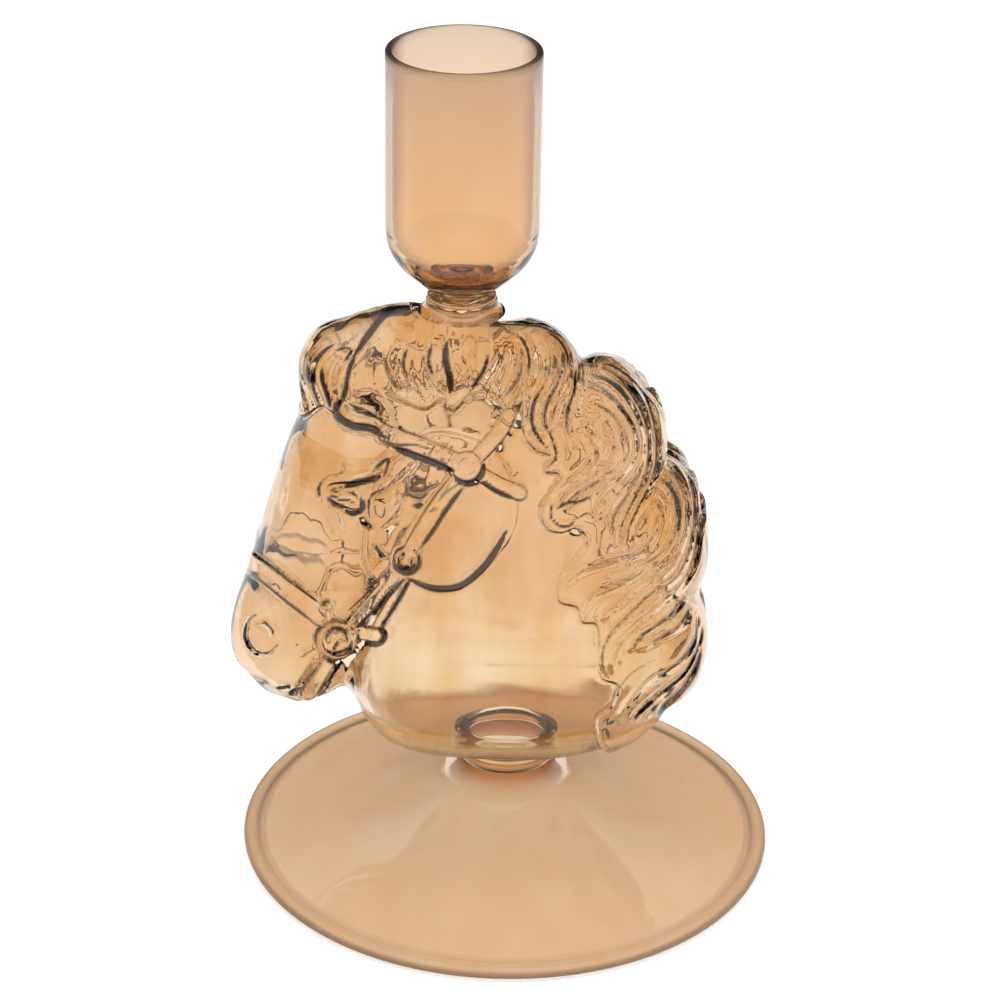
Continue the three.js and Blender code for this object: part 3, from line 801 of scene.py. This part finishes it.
def candle_cup():
    """A tube with a round lip, closed at the bottom of its bowl."""
    outer, inner, lip = 12.9, 11.7, 0.6
    top = 149.2
    bowl = spline([(5.65, 107.3), (6.1, 107.9), (7.9, 109.4), (10.9, 112.4), (12.4, 115.2),
                   (12.85, 118)], 8)
    inside = spline([(inner, 118.4), (11.1, 115.4), (9.1, 112.5), (6.2, 110.3), (4, 109.7)], 8)
    profile = [(AXIS, 106.9), (5.2, 106.9), *bowl.tolist(),
               *[(outer, z) for z in np.linspace(122, 147.5, 10)],
               *arc(outer - lip, top - lip, lip, 0, 180, 12),
               *[(inner, z) for z in np.linspace(147.5, 122, 10)],
               *inside.tolist(), (2, 109.6), (AXIS, 109.6)]
    cup = turn("candle_cup_glass", profile, CUP_X)
    height = np.array([v.co.z for v in cup.data.vertices]) / MM
    paint(cup, "soft", 0.45 * smooth_step(height - 147.6))
    return cup


def cup_weld():
    """A solid bead with two rings, which flares out over the poll."""
    flare = spline([(7.4, 103.2), (6.8, 103.5), (6.3, 104.0), (6.0, 104.6)], 6)
    profile = [(AXIS, 103.15), *flare.tolist(), *arc(5.5, 105.1, 0.6, -60, 70),
               *arc(5.3, 106.15, 0.55, -60, 70), (5.2, 106.8), (AXIS, 106.8)]
    return turn("cup_weld_glass", profile, CUP_X)


def flared_foot():
    """A shallow hollow cone with a rolled rim, drawn up into the stem."""
    top = spline([(45.8, 2.02), (45.2, 1.98), (44.8, 1.96), (44.4, 1.96), (43.6, 2.0), (42, 2.2),
                  (38, 2.85), (28, 4.9), (20, 7.1), (14, 9.2), (11, 10.8), (9.6, 12.7), (8.9, 15),
                  (8.9, 17.4)], 8)
    under = spline([(7.3, 17.4), (7.4, 15), (8.1, 12.4), (9.8, 10), (13.2, 8), (19.5, 5.8), (27.7, 3.5),
                    (38, 1.5), (41, 1.0), (43, 0.72), (44.2, 0.5), (45.6, 0.03)], 8)
    rim = arc(46.5, 1.02, 1.02, -90, 90, 24)
    foot = turn("flared_foot_glass", [*rim, *top.tolist(), *under.tolist()], segments=240)
    # a soft line of painted shade where the rolled rim begins, and a softer skin on the rim and the
    # stem
    offsets = [(v.co.x - FOOT_CENTRE.x, v.co.y - FOOT_CENTRE.y) for v in foot.data.vertices]
    radius = np.hypot(*np.array(offsets).T) / MM
    height = np.array([v.co.z for v in foot.data.vertices]) / MM
    paint(foot, "shade", 0.22 * np.exp(-((radius - 44.8) / 0.35) ** 2))
    stem = 0.9 * smooth_step((height - 9.5) / 3.5)
    paint(foot, "soft", np.maximum(smooth_step((radius - 42.6) / 1.4), stem))
    return foot


def foot_weld():
    """A short open ring between the stem and the bust."""
    outside = spline([(8.9, 17.5), (8.8, 18.2), (9.0, 19.0), (9.6, 19.75)], 6)
    inside = spline([(7.6, 19.75), (7.2, 19.2), (7.1, 18.3), (7.2, 17.5)], 6)
    return turn("foot_weld_glass", [*outside.tolist(), *inside.tolist()])


# ---- Materials --------------------------------------------------------------------------------
def glass(name, stain, density, mottle, edge, change=None):
    """Blown glass: a sprayed amber stain on the skin, over a faintly amber body.

    The stain is mottled, in streaks. It greys where the skin is seen edge on, a painted shade
    for the dark edges of light folded away by the glass, by an edge of (low, high, share,
    colour). It darkens with painted shade where the mesh's shade attribute says so, and the
    skin is rougher where its soft attribute says so. A change of (low, high, stops, colour,
    roughness) brings in another stain between two heights in metres, by (place, share)
    stops, the first and the last before those in between.
    """
    material = bpy.data.materials.new(name)
    material.use_nodes = True
    nodes, links = material.node_tree.nodes, material.node_tree.links
    shader = nodes["Principled BSDF"]
    shader.inputs["IOR"].default_value = 1.5
    shader.inputs["Transmission Weight"].default_value = 1.0
    place = nodes.new("ShaderNodeTexCoord")
    streaks = nodes.new("ShaderNodeMapping")
    streaks.inputs["Scale"].default_value = (1.0, 1.0, 0.4)
    links.new(place.outputs["Object"], streaks.inputs["Vector"])

    def noise(scale, detail):
        node = nodes.new("ShaderNodeTexNoise")
        node.inputs["Scale"].default_value = scale
        node.inputs["Detail"].default_value = detail
        links.new(streaks.outputs["Vector"], node.inputs["Vector"])
        return node.outputs["Fac"]

    def spread(value, low, high, new_low, new_high):
        node = nodes.new("ShaderNodeMapRange")
        links.new(value, node.inputs["Value"])
        limits = {"From Min": low, "From Max": high, "To Min": new_low, "To Max": new_high}
        for label, number in limits.items():
            node.inputs[label].default_value = number
        return node.outputs["Result"]

    def mix(share, first, second):
        node = nodes.new("ShaderNodeMix")
        node.data_type = "RGBA"
        links.new(share, node.inputs["Factor"])
        for socket, colour in ((node.inputs[6], first), (node.inputs[7], second)):
            if isinstance(colour, tuple):
                socket.default_value = (*colour, 1)
            else:
                links.new(colour, socket)
        return node.outputs[2]

    thin = tuple(1 - (1 - mottle) * (1 - c) for c in stain)
    thick = tuple(1 - (1 + mottle) * (1 - c) for c in stain)
    colour = mix(spread(noise(130.0, 4.0), 0.3, 0.7, 0.0, 1.0), thin, thick)
    roughness = spread(noise(45.0, 2.0), 0.3, 0.7, 0.01, 0.03)
    if change:
        split = nodes.new("ShaderNodeSeparateXYZ")
        links.new(place.outputs["Object"], split.inputs["Vector"])
        low, high, stops, second, rough = change
        ramp = nodes.new("ShaderNodeValToRGB")
        links.new(spread(split.outputs["Z"], low, high, 0.0, 1.0), ramp.inputs["Fac"])
        elements = ramp.color_ramp.elements
        for index, (position, share) in enumerate(stops):
            stop = elements[index] if index < 2 else elements.new(position)
            stop.position = position
            stop.color = (share, share, share, 1)
        colour = mix(ramp.outputs["Color"], colour, second)
        add = nodes.new("ShaderNodeMath")
        links.new(roughness, add.inputs[0])
        links.new(spread(ramp.outputs["Color"], 0.7, 1.0, 0.0, rough), add.inputs[1])
        roughness = add.outputs["Value"]
    # painted shade: the colour greys towards the edge colour where the skin is seen edge on
    facing = nodes.new("ShaderNodeLayerWeight")
    facing.inputs["Blend"].default_value = 0.5
    low, high, share, edge_shade_colour = edge
    colour = mix(spread(facing.outputs["Facing"], low, high, 0.0, share), colour, edge_shade_colour)
    # painted shade: the colour darkens towards near black where the shade attribute is high
    shade = nodes.new("ShaderNodeAttribute")
    shade.attribute_name = "shade"
    colour = mix(spread(shade.outputs["Fac"], *LINE_RANGE, 0.0, 1.0), colour, PAINTED_SHADE_COLOUR)
    links.new(colour, shader.inputs["Base Color"])
    soft = nodes.new("ShaderNodeAttribute")
    soft.attribute_name = "soft"
    softened = nodes.new("ShaderNodeMath")
    links.new(roughness, softened.inputs[0])
    links.new(spread(soft.outputs["Fac"], 0.0, 1.0, 0.0, SOFT_ROUGHNESS), softened.inputs[1])
    links.new(softened.outputs["Value"], shader.inputs["Roughness"])
    bump = nodes.new("ShaderNodeBump")
    bump.inputs["Strength"].default_value = 0.12 * mottle
    bump.inputs["Distance"].default_value = 0.002
    links.new(noise(110.0, 3.0), bump.inputs["Height"])
    links.new(bump.outputs["Normal"], shader.inputs["Normal"])
    volume = nodes.new("ShaderNodeVolumeAbsorption")
    volume.inputs["Color"].default_value = (*AMBER, 1)
    volume.inputs["Density"].default_value = density
    links.new(volume.outputs["Volume"], nodes["Material Output"].inputs["Volume"])
    return material


AMBER = (0.92, 0.505, 0.02)
# colour of the painted shade lines
PAINTED_SHADE_COLOUR = (0.008, 0.005, 0.004)
LINE_RANGE = (0.12, 0.62)  # from the first to the full darkening, on the shade attribute
SOFT_ROUGHNESS = 0.38  # added where the soft attribute is 1
# Changes of stain with height: low, high, stops, colour, roughness
LOWER_CHEST = (0.020, 0.041, [(0.0, 0.85), (1.0, 0.0), (0.3, 1.0), (0.6, 0.5)],
               (0.99, 0.91, 0.73), 0.15)
CUP_TOP = (0.118, 0.149, [(0.0, 0.0), (1.0, 1.0)], (0.73, 0.585, 0.46), 0.22)
STEM = (0.0120, 0.0165, [(0.0, 0.0), (1.0, 1.0)], (0.60, 0.28, 0.10), 0.0)
# the last value of each edge is the colour of its painted edge shade
materials = {
    "bust_glass": glass("bust_glass", (0.835, 0.64, 0.44), 30, 0.3,
                        (0.5, 1.0, 0.6, (0.16, 0.13, 0.11)), LOWER_CHEST),
    "cup_glass": glass("cup_glass", (0.855, 0.645, 0.435), 40, 0.1,
                       (0.42, 0.72, 0.95, (0.30, 0.175, 0.11)), CUP_TOP),
    "foot_glass": glass("foot_glass", (0.87, 0.635, 0.42), 40, 0.06,
                        (0.6, 1.0, 0.6, (0.35, 0.24, 0.17)), STEM),
    "weld_glass": glass("weld_glass", (0.90, 0.66, 0.43), 40, 0.15,
                        (0.5, 1.0, 0.6, (0.25, 0.18, 0.13))),
}


# ---- Assembly ---------------------------------------------------------------------------------
def fit(piece, node, slot):
    """Gives a piece its glass and puts it in the place of its CAD node."""
    piece.data.materials.append(materials[slot])
    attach(piece, "root")
    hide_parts(node)


fit(candle_cup(), "candle_cup", "cup_glass")
fit(cup_weld(), "cup_weld", "weld_glass")
fit(flared_foot(), "flared_foot", "foot_glass")
fit(foot_weld(), "foot_weld", "weld_glass")
bust_points, bust_faces, bust_shade = bust_mesh()
bust_piece = make_object("horse_bust_glass", bust_points, bust_faces)
paint(bust_piece, "shade", bust_shade)
fit(bust_piece, "horse_bust", "bust_glass")


# ---- Stage ------------------------------------------------------------------------------------
TABLE_GLOW = 0.56  # the floor is a faint light table


def stage():
    size = 6.0
    mesh = bpy.data.meshes.new("floor")
    corners = [(-size, -size, 0), (size, -size, 0), (size, size, 0), (-size, size, 0)]
    mesh.from_pydata(corners, [], [(0, 1, 2, 3)])
    floor = bpy.data.objects.new("floor", mesh)
    floor.location.z = -0.0002
    bpy.context.scene.collection.objects.link(floor)
    paper = bpy.data.materials.new("pale_paper")
    paper.use_nodes = True
    shader = paper.node_tree.nodes["Principled BSDF"]
    shader.inputs["Base Color"].default_value = (0.93, 0.93, 0.93, 1)
    shader.inputs["Roughness"].default_value = 0.9
    shader.inputs["Emission Color"].default_value = (1, 1, 1, 1)
    shader.inputs["Emission Strength"].default_value = TABLE_GLOW
    mesh.materials.append(paper)


def world():
    """A room that is dark to half way up and white overhead."""
    sky = bpy.data.worlds.new("studio")
    bpy.context.scene.world = sky
    sky.use_nodes = True
    nodes, links = sky.node_tree.nodes, sky.node_tree.links
    background = nodes["Background"]
    place = nodes.new("ShaderNodeTexCoord")
    split = nodes.new("ShaderNodeSeparateXYZ")
    ramp = nodes.new("ShaderNodeValToRGB")
    links.new(place.outputs["Generated"], split.inputs["Vector"])
    links.new(split.outputs["Z"], ramp.inputs["Fac"])
    dark, bright = ramp.color_ramp.elements
    dark.position = 0.5
    dark.color = (0.03, 0.03, 0.03, 1)
    bright.position = 0.8
    bright.color = (0.9, 0.9, 0.9, 1)
    links.new(ramp.outputs["Color"], background.inputs["Color"])
    background.inputs["Strength"].default_value = 1.25


def camera():
    data = bpy.data.cameras.new("camera")
    data.sensor_width = 36
    data.lens = 3.171 * data.sensor_width
    data.clip_start, data.clip_end = 0.01, 20
    eye = bpy.data.objects.new("camera", data)
    bpy.context.scene.collection.objects.link(eye)
    pitch, roll = 0.469, 0.017
    turn_down = Matrix.Rotation(math.pi / 2 - pitch, 4, "X")
    eye.matrix_world = (Matrix.Translation(Vector((-0.0019 + FOOT_CENTRE.x, -0.4905, 0.316)))
                        @ turn_down @ Matrix.Rotation(roll, 4, "Z"))
    bpy.context.scene.camera = eye


stage()
world()
camera()
bpy.context.scene.view_settings.view_transform = "Standard"
